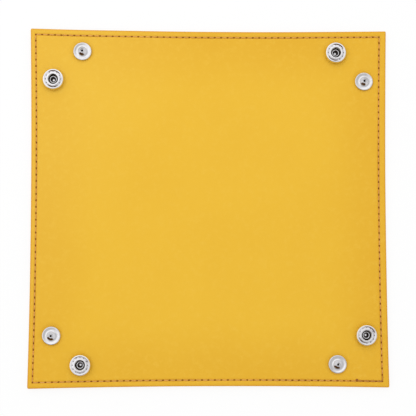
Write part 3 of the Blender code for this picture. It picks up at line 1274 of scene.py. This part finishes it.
    def floor(self) -> bpy.types.Object:
        """Makes the flat floor between the bends, out to the creases at its corners.

        Returns:
            The piece.
        """
        half = self.sizes.floor_half
        near = half - self.sizes.wall_bend
        corner = self.sizes.wall_end
        tabs_end = half - self.corner_tab
        inner = np.linspace(-corner, corner, self.floor_lines)
        outer = [*np.linspace(corner, near, self.corner_lines)[1:], tabs_end, half,
                 *(half + mark for mark in self.corner_marks)]
        lines = np.array([*(-mark for mark in reversed(outer)), *inner, *outer])
        x, y = np.meshgrid(lines, lines[::-1])
        sunk = np.zeros((*x.shape, len(Face)))
        sunk[np.maximum(np.abs(x), np.abs(y)) > half + self.tolerance] = self.corner_sink
        middles = [np.abs(cell_middles(net)) for net in (x, y)]
        out = np.maximum(*middles)
        along = np.minimum(*middles)
        keep = (out < near) | (along > corner) & ((out < half) | (along < tabs_end))
        return self.slab("leather_floor", x, y, keep=keep, sunk=sunk)

    def wall_bend(self, side: Side) -> bpy.types.Object:
        """Makes the strip that bends between the floor and a wall.

        Args:
            side: The wall's side.

        Returns:
            The piece.
        """
        end, reach = self.sizes.wall_end, self.sizes.wall_bend
        columns, rows = self.wall_bend_lines
        x, y = np.meshgrid(np.linspace(-end, end, columns),
                           self.sizes.floor_half + np.linspace(reach, -reach, rows))
        return self.slab(f"leather_wall_bend_{side.label}", x, y, side)

    def wall(self, side: Side) -> bpy.types.Object:
        """Makes a wall's flat panel.

        Args:
            side: The wall's side.

        Returns:
            The piece.
        """
        sizes = self.sizes
        columns = self.stitch_marks(-sizes.wall_end, sizes.wall_end)
        x, y = self.side_net(columns, sizes.floor_half + sizes.wall_bend, self.wall_pitch)
        return self.slab(f"leather_wall_{side.label}", x, y, side, has_edge=True)

    def ear_bend(self, side: Side, half: SnapHalf) -> bpy.types.Object:
        """Makes the strip that bends between a wall and one of its ears.

        Args:
            side: The wall's side.
            half: The snap half that the ear carries.

        Returns:
            The piece.
        """
        sizes = self.sizes
        reach = sizes.ear_bend
        marks = [*np.linspace(-reach, reach, self.ear_bend_lines), *(reach + mark for mark in self.tab_marks)]
        columns = np.array([half.hand * (sizes.ear_crease + mark) for mark in marks])[::half.hand]
        x, y = self.side_net(columns, sizes.floor_half, self.ear_pitch, tucked=True)
        beyond = np.abs(x) - sizes.ear_start
        sunk = self.tuck_falls(*x.shape)
        inside = beyond > self.tolerance
        sunk[inside] = np.maximum(sunk[inside], self.tab_sink)
        keep = (cell_middles(beyond) < 0) | (cell_middles(y - sizes.floor_half) < self.tab_height)
        return self.slab(f"leather_{half.value}_ear_bend_{side.label}", x, y, side, True, keep, sunk)

    def ear(self, side: Side, half: SnapHalf) -> bpy.types.Object:
        """Makes an ear with its corner fold, from the crease to the corner's diagonal.

        Args:
            side: The ear's side.
            half: The snap half that the ear carries.

        Returns:
            The piece.
        """
        sizes = self.sizes
        start = sizes.ear_start
        seam_run = sizes.seam_half - start
        shares = self.stitch_marks(0.0, seam_run)[::-1] / seam_run
        depth = sizes.half - sizes.floor_half
        bend = sizes.corner_round
        x_rows, y_rows = [], []
        for inset in self.inset_rows(depth, self.ear_pitch, tucked=True):
            turn = max(bend - inset, 0.0)
            level = sizes.half - max(inset, bend)
            end = level + turn * math.sqrt(0.5)
            x = end - shares * (end - start)
            pull = sizes.side_bow * (1 - (x / sizes.half) ** 2) * max(1 - inset / depth, 0.0)
            reach = np.clip(x - level, 0.0, turn)
            y = np.where(x > level, level + np.sqrt(turn ** 2 - reach ** 2), level + turn)
            x_rows.append(x)
            y_rows.append(np.maximum(y - pull, x))
        x, y = np.array(x_rows), np.array(y_rows)
        if half.hand < 0:
            x, y = -x[:, ::-1], y[:, ::-1]
        from_snap = np.hypot(cell_middles(np.abs(x)) - sizes.snap_along, cell_middles(y) - sizes.snap_out)
        return self.slab(f"leather_{half.value}_ear_{side.label}", x, y, side, True,
                         from_snap > self.snap_hole, self.tuck_falls(*x.shape))

    # Putting it on the frame

    def dress_wall(self, side: Side) -> None:
        """Makes a wall with its bend and puts them on the frame.

        Args:
            side: The wall's side.
        """
        sizes = self.sizes
        bend = self.wall_bend(side)
        put_on(bend, sizes.wall_hold(side), "upper_leather")
        item = self.wall(side)
        put_on(item, f"{side.label}_wall", "upper_leather",
               f"upper_leather_wall_{side.label}", f"lower_leather_wall_{side.label}")
        width = sizes.half - sizes.floor_half - sizes.wall_bend

    def dress_ear(self, side: Side, half: SnapHalf) -> None:
        """Makes an ear with its bend and puts them on the frame.

        Args:
            side: The ear's side.
            half: The snap half that the ear carries.
        """
        sizes = self.sizes
        bend = self.ear_bend(side, half)
        put_on(bend, sizes.ear_hold(side, half), "bonded_leather")
        item = self.ear(side, half)
        put_on(item, sizes.fold_hold(side, half), "bonded_leather",
               f"{half.value}_ear_leather_{side.label}", f"{half.value}_fold_leather_{side.label}")
        width = sizes.half - sizes.ear_start
        short = sizes.floor_half - sizes.ear_start
        depth = sizes.half - sizes.floor_half
        depth * (width + short) / 2

    def dress(self) -> None:
        """Makes all the leather and puts it on the frame."""
        floor = self.floor()
        put_on(floor, "floor", "upper_leather", "upper_leather_floor", "lower_leather_floor")
        for side in Side:
            self.dress_wall(side)
            for half in SnapHalf:
                self.dress_ear(side, half)


# Seam


@dataclass
class Seam:
    """The lockstitched seam round the sheet, on both faces, stitch by stitch."""

    sheet: LeatherSheet
    radius: float = 0.31 * MM
    plies: int = 3
    ply_depth: float = 0.13
    twist: float = 1.6
    next_twist: float = 1.7
    crest: float = 0.08 * MM
    sunk: float = 0.62 * MM
    plunge: float = 3.2
    taper: float = 0.22
    slant: float = 0.1 * MM
    rings: int = 15
    around: int = 15
    tack_in: float = 1.5 * MM
    tack_out: float = 0.3 * MM
    tack_spread: float = 0.1
    tack_shift: float = 0.24 * MM

    def stitch(self, first: Point, last: Point, face: Face, turned: float) -> np.ndarray:
        """One stitch from hole to hole.

        Args:
            first: The hole it comes up from: along the side, out, and the face's level.
            last: The hole it goes down into.
            face: The face it lies on.
            turned: The angle its plies start at.

        Returns:
            Its points ring by ring, as if on the back side.
        """
        start, end = Vector(first), Vector(last)
        run = (end - start).normalized()
        across = Vector((-run.y, run.x, 0.0))
        points = []
        for ring in range(self.rings):
            share = 0.5 - 0.5 * math.cos(math.pi * ring / (self.rings - 1))
            fall = abs(2 * share - 1) ** self.plunge
            spot = start.lerp(end, share)
            spot += across * self.slant * (1 - 2 * share) * (1 - fall)
            spot.z += face.value * (self.crest * (1 - fall) - self.sunk * fall)
            size = self.radius * (1 - self.taper * fall)
            for step in range(self.around):
                angle = 2 * math.pi * step / self.around
                ridge = math.cos(self.plies * (angle - turned - 2 * math.pi * self.twist * share))
                reach = size * (1 - self.ply_depth + self.ply_depth * ridge)
                rise = Vector((0.0, 0.0, reach * math.sin(angle)))
                points.append(spot + across * reach * math.cos(angle) + rise)
        return np.array(points)

    def hole(self, step: float, level: float, shift: float = 0.0) -> Point:
        """A needle hole's place.

        Args:
            step: The hole's number, counted from the middle of the side, or a share of a stitch past it.
            level: The height of the face.
            shift: How far it is moved in from the seam.

        Returns:
            Its place, as if on the back side.
        """
        sizes = self.sheet.sizes
        along = step * sizes.stitch
        return (along, sizes.seam_at(along) - shift, level)

    def tack(self, level: float) -> list[tuple[Point, Point]]:
        """Where the thread goes once more where the seam ends: a small knot, and a second pass to the corner.

        Args:
            level: The height of the face.

        Returns:
            The two ends of each stitch.
        """
        sizes = self.sheet.sizes
        spans = []
        for spread in (-self.tack_spread, 0.0, self.tack_spread):
            spot = spread - sizes.tack_hole
            spans.append((self.hole(spot, level, self.tack_in), self.hole(spot, level, -self.tack_out)))
        shift = self.tack_shift
        for step in range(-sizes.stitches // 2, -sizes.tack_hole):
            spans.append((self.hole(step, level, shift), self.hole(step + 1, level, shift)))
        return spans

    def run(self, name: str, steps: Sequence[int], side: Side) -> bpy.types.Object:
        """Makes a run of stitches on both faces.

        Args:
            name: The piece's name.
            steps: The numbers of the holes that the stitches start from.
            side: The side.

        Returns:
            The piece.
        """
        sizes = self.sheet.sizes
        points: list[np.ndarray] = []
        for face in Face:
            level = sizes.level(face)
            spans = [(self.hole(step, level), self.hole(step + 1, level)) for step in steps]
            if side is Side.FRONT and face is Face.UPPER and -sizes.tack_hole in steps:
                spans += self.tack(level)
            for first, last in spans:
                points.append(self.stitch(first, last, face, self.next_twist * len(points)))
        loops = tube_faces(self.rings, self.around)
        size = self.rings * self.around
        faces = [[number * size + spot for spot in loop] for number in range(len(points)) for loop in loops]
        place = Matrix.Translation((-sizes.seam_shift, 0.0, 0.0)) @ side.turn
        return mesh_piece(name, moved(np.concatenate(points), place), faces, self.sheet.finishes.thread)

    def dress(self) -> None:
        """Makes the seam and puts it on the frame: a run on each wall, over each bend and on each ear."""
        sizes = self.sheet.sizes
        corner = sizes.stitches // 2
        inner = math.floor(sizes.wall_end / sizes.stitch)
        outer = math.ceil(sizes.ear_start / sizes.stitch)
        for side in Side:
            wall = self.run(f"stitches_wall_{side.label}", range(-inner, inner), side)
            put_on(wall, f"{side.label}_wall", "thread", f"seam_thread_wall_{side.label}")
            for half in SnapHalf:
                at_end = half.hand > 0
                steps = range(inner, outer) if at_end else range(-outer, -inner)
                bend = self.run(f"stitches_{half.value}_ear_bend_{side.label}", steps, side)
                put_on(bend, sizes.ear_hold(side, half), "thread")
                steps = range(outer, corner) if at_end else range(-corner, -outer)
                ear = self.run(f"stitches_{half.value}_ear_{side.label}", steps, side)
                put_on(ear, sizes.fold_hold(side, half), "thread",
                       f"seam_thread_{half.value}_ear_{side.label}")


# Snaps


@dataclass
class PressSnap:
    """One end of a side's press snap: the visible half on top and what holds it underneath."""

    sizes: SheetSizes
    finishes: Finishes
    side: Side
    half: SnapHalf
    segments: int = 72
    pit_segments: int = 288
    spring_radius: float = 2.80 * MM
    spring_level: float = 2.25 * MM
    spring_mouth: float = math.radians(40.0)
    wire_radius: float = 0.30 * MM
    wire_end: float = 0.75
    spring_rings: int = 65
    wire_around: int = 14

    @property
    def centre(self) -> Vector:
        """The snap's axis at the upper face's level."""
        spot = Vector((self.half.hand * self.sizes.snap_along, self.sizes.snap_out, self.sizes.top))
        return self.side.turn @ spot

    def settle(self, item: bpy.types.Object, node: str, slot: str = "snap_metal") -> None:
        """Puts a piece on its ear in place of a node of the frame, named without the side."""
        put_on(item, f"{self.side.label}_{self.half.value}_ear", slot, f"{node}_{self.side.label}")

    def turn(self, name: str, finish: bpy.types.Material, corners: Sequence[Corner],
             lift: Lift | None = None) -> bpy.types.Object:
        """Turns a piece of the snap.

        Args:
            name: The piece's name without the side.
            finish: Its finish.
            corners: Its outline, with heights over the upper face.
            lift: How far its points are raised, if they are.

        Returns:
            The piece.
        """
        segments = self.pit_segments if lift else self.segments
        return lathed(f"{name}_{self.side.label}", corners, self.centre, finish, segments, lift)

    def stud(self) -> None:
        """Makes the stud, a dished disc with a hollow nib that has a conical top."""
        corners = [(1.60, -0.17, 0.0), (4.75, -0.17, 0.15), (5.15, 0.20, 0.25), (5.15, 0.80, 0.25),
                   (4.85, 1.20, 0.30), (4.35, 1.16, 0.25), (3.70, 0.95, 0.40), (2.90, 0.93, 0.35),
                   (2.16, 1.25, 0.40), (2.06, 1.90, 0.30), (2.40, 2.24, 0.16), (2.40, 2.44, 0.10),
                   (1.20, 3.26, 0.10), (1.12, 3.22, 0.06), (1.12, 2.86, 0.06), (1.47, 2.66, 0.0)]
        self.settle(self.turn("stud", self.finishes.stud, corners), "snap_stud")

    def eyelet(self) -> None:
        """Makes the eyelet, whose tube comes up through the leather and is rolled over in the nib."""
        corners = [(0.50, 2.20, 0.15), (0.60, 2.92, 0.18), (0.82, 3.08, 0.15), (1.08, 2.98, 0.08),
                   (1.08, 2.70, 0.05), (1.42, 2.50, 0.0), (1.42, -1.83, 0.0), (4.75, -1.83, 0.15),
                   (5.15, -2.15, 0.25), (5.00, -2.60, 0.30), (3.60, -2.98, 0.60), (1.30, -3.00, 0.30),
                   (0.60, -2.60, 0.30), (0.90, 1.60, 0.20)]
        self.settle(self.turn("eyelet", self.finishes.eyelet, corners), "stud_eyelet")

    def socket(self) -> None:
        """Makes the socket, a thick ring with a pitted groove on top and a wide mouth."""
        corners = [(1.70, -0.17, 0.0), (5.25, -0.17, 0.15), (5.85, 0.45, 0.40), (5.85, 2.35, 0.50),
                   (5.64, 3.04, 0.40), (5.38, 3.27, 0.24), (4.94, 3.27, 0.10), (4.50, 2.93, 0.02),
                   (4.40, 2.86, 0.02), (4.12, 2.64, 0.02), (4.02, 2.57, 0.02), (3.80, 2.40, 0.08),
                   (3.72, 2.44, 0.06), (3.60, 3.28, 0.12), (2.96, 3.29, 0.16), (2.70, 3.00, 0.20),
                   (2.72, 2.74, 0.06), (3.38, 2.70, 0.06), (3.40, 0.75, 0.10), (1.70, 0.75, 0.0)]
        self.settle(self.turn("socket", self.finishes.socket, corners, PitRing().fall), "snap_socket")

    def spring(self) -> None:
        """Makes the open ring of wire that grips the nib."""
        last = self.spring_rings - 1
        points = []
        for ring in range(self.spring_rings):
            angle = self.spring_mouth / 2 + (2 * math.pi - self.spring_mouth) * ring / last
            size = self.wire_radius * (self.wire_end if ring in (0, last) else 1.0)
            for step in range(self.wire_around):
                swing = 2 * math.pi * step / self.wire_around
                reach = self.spring_radius + size * math.cos(swing)
                height = self.spring_level + size * math.sin(swing)
                points.append((reach * math.cos(angle), reach * math.sin(angle), height))
        placed = moved(np.array(points), Matrix.Translation(self.centre) @ self.side.turn)
        item = mesh_piece(f"ring_spring_{self.side.label}", placed,
                          tube_faces(self.spring_rings, self.wire_around), self.finishes.wire)
        self.settle(item, "socket_spring", "spring_steel")

    def cap(self) -> None:
        """Makes the domed cap under the leather, whose hollow post is rolled over inside the socket."""
        corners = [(0.0, -3.40, 0.0), (2.20, -3.37, 1.0), (4.40, -3.05, 1.0), (5.90, -2.48, 0.50),
                   (6.25, -2.05, 0.18), (6.12, -1.83, 0.10), (1.50, -1.83, 0.0), (1.50, 0.96, 0.0),
                   (2.10, 0.96, 0.10), (2.14, 1.16, 0.12), (1.86, 1.38, 0.22), (1.56, 1.30, 0.16),
                   (1.22, 0.80, 0.20), (0.62, -1.42, 0.12), (0.0, -1.50, 0.0)]
        self.settle(self.turn("cap", self.finishes.cap, corners), "socket_cap")

    def dress(self) -> None:
        """Makes this end's pieces and puts them on the frame."""
        if self.half is SnapHalf.STUD:
            self.stud()
            self.eyelet()
        else:
            self.socket()
            self.spring()
            self.cap()


# Studio


@dataclass
class Studio:
    """A pale floor, a soft lamp overhead, a softly lit room and the camera.

    The room is white. Its ceiling is brighter at the back and on the left, it is darker low down, and what
    is mirrored straight from one warm corner of it is darker too.
    """

    camera_place: Point = (-22.0 * MM, -36.2 * MM, 598.4 * MM)
    camera_aim: Point = (-0.65 * MM, -0.24 * MM, 0.0)
    focal_pixels: float = 1071.4
    sensor: float = 36.0
    nearest: float = 0.01
    farthest: float = 50.0
    lamp_place: Point = (-0.1, 0.22, 0.42)
    lamp_side: float = 0.6
    lamp_power: float = 0.62
    floor_side: float = 6.0
    floor_colour: Colour = (0.97, 0.97, 0.97, 1.0)
    floor_glow: float = 0.86
    cover_reach: float = 4.0 * MM
    cover_band: Span = (0.05, 0.3)
    white: Colour = (1.0, 1.0, 1.0, 1.0)
    wall_level: float = 0.82
    low_band: Span = (0.05, 0.3)
    low_loss: float = 0.3
    ceiling_band: Span = (0.5, 0.78)
    ceiling_level: float = 0.62
    ceiling_gain: float = 0.56
    ceiling_slope: Span = (-0.45, 0.45)
    dark_corner: Colour = screen_colour(150, 96, 40)
    corner_side: Span = (-0.3, -0.95)
    corner_band: Span = (0.48, 0.76)
    corner_loss: float = 0.55

    def camera(self) -> None:
        """Puts the camera nearly straight above the sheet."""
        data = bpy.data.cameras.new("camera")
        data.sensor_width = self.sensor
        data.lens = self.focal_pixels / IMAGE_SIDE * self.sensor
        data.clip_start = self.nearest
        data.clip_end = self.farthest
        item = linked("camera", data)
        place = Vector(self.camera_place)
        ahead = (Vector(self.camera_aim) - place).normalized()
        right = ahead.cross(Vector((0.0, 1.0, 0.0))).normalized()
        above = right.cross(ahead)
        turn = Matrix((right, above, -ahead)).transposed().to_4x4()
        item.matrix_world = Matrix.Translation(place) @ turn
        bpy.context.scene.camera = item

    def lamp(self) -> None:
        """Adds the square soft lamp, which looks at the middle of the sheet and isn't mirrored."""
        data = bpy.data.lights.new("overhead_lamp", "AREA")
        data.shape = "SQUARE"
        data.size = self.lamp_side
        data.energy = self.lamp_power
        item = linked("overhead_lamp", data)
        item.visible_glossy = False
        item.location = self.lamp_place
        item.rotation_euler = (-Vector(self.lamp_place)).to_track_quat("-Z", "Y").to_euler()

    def floor(self) -> None:
        """Lays the pale floor, which is white to the eye where it isn't covered and keeps a faint shadow."""
        half = self.floor_side / 2
        mesh = bpy.data.meshes.new("studio_floor")
        corners = [(-half, -half, 0.0), (half, -half, 0.0), (half, half, 0.0), (-half, half, 0.0)]
        mesh.from_pydata(corners, [], [[0, 1, 2, 3]])
        item = linked("studio_floor", mesh)
        material = bpy.data.materials.new("studio_floor")
        graph = Graph(material)
        rays = ("Is Camera Ray", "Is Glossy Ray", "Is Transmission Ray")
        camera, glossy, passed = graph.parts("ShaderNodeLightPath", rays)
        seen = camera.greater(glossy).greater(passed)
        cover = graph.wire("ShaderNodeAmbientOcclusion", None, {"Distance": self.cover_reach}, "AO")
        share = seen * cover.rise(*self.cover_band) * self.floor_glow
        matt = graph.wire("ShaderNodeBsdfDiffuse", None, {"Color": self.floor_colour})
        glow = graph.wire("ShaderNodeEmission", None, {"Color": self.white, "Strength": 1.0})
        mixed = graph.wire("ShaderNodeMixShader", None, {0: share, 1: matt, 2: glow})
        graph.node("ShaderNodeOutputMaterial", None, {"Surface": mixed})
        mesh.materials.append(material)

    def world(self) -> None:
        """Lights the room."""
        world = bpy.data.worlds.new("studio_world")
        bpy.context.scene.world = world
        graph = Graph(world)
        x, y, z = graph.split(graph.wire("ShaderNodeTexCoord", None, None, "Generated"))
        rays = ("Is Camera Ray", "Is Glossy Ray", "Diffuse Depth")
        camera, glossy, scattered = graph.parts("ShaderNodeLightPath", rays)
        mirrored = glossy * (1 - scattered.lesser(1.0))
        in_corner = (x * self.corner_side[0] + y * self.corner_side[1]).rise(*self.corner_band) * mirrored
        above = z.rise(*self.ceiling_band)
        low = 1 - z.rise(*self.low_band)
        ceiling = self.ceiling_level + (y - x).rise(*self.ceiling_slope) * self.ceiling_gain
        walls = (self.wall_level - in_corner * self.corner_loss) * (1 - low * self.low_loss)
        level = walls * (1 - above) + above * ceiling
        colour = graph.paint(self.white, (in_corner * (1 - above), self.dark_corner))
        sockets = {"Color": colour, "Strength": level.greater(camera)}
        back = graph.wire("ShaderNodeBackground", None, sockets)
        graph.node("ShaderNodeOutputWorld", None, {"Surface": back})

    def dress(self) -> None:
        """Sets up the studio."""
        bpy.context.scene.view_settings.view_transform = "Standard"
        self.floor()
        self.world()
        self.lamp()
        self.camera()
        LOG.info("studio: floor, room, lamp and camera")


def main() -> None:
    """Loads the frame and builds the tray's looks round it."""
    logging.basicConfig(level=logging.INFO, format="%(name)s %(message)s")
    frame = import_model()
    sizes = SheetSizes.from_frame(frame)
    finishes = Finishes.for_sheet(sizes)
    Studio().dress()
    sheet = LeatherSheet(sizes, finishes)
    sheet.dress()
    Seam(sheet).dress()
    for side in Side:
        for half in SnapHalf:
            PressSnap(sizes, finishes, side, half).dress()


if __name__ == "__main__":
    main()
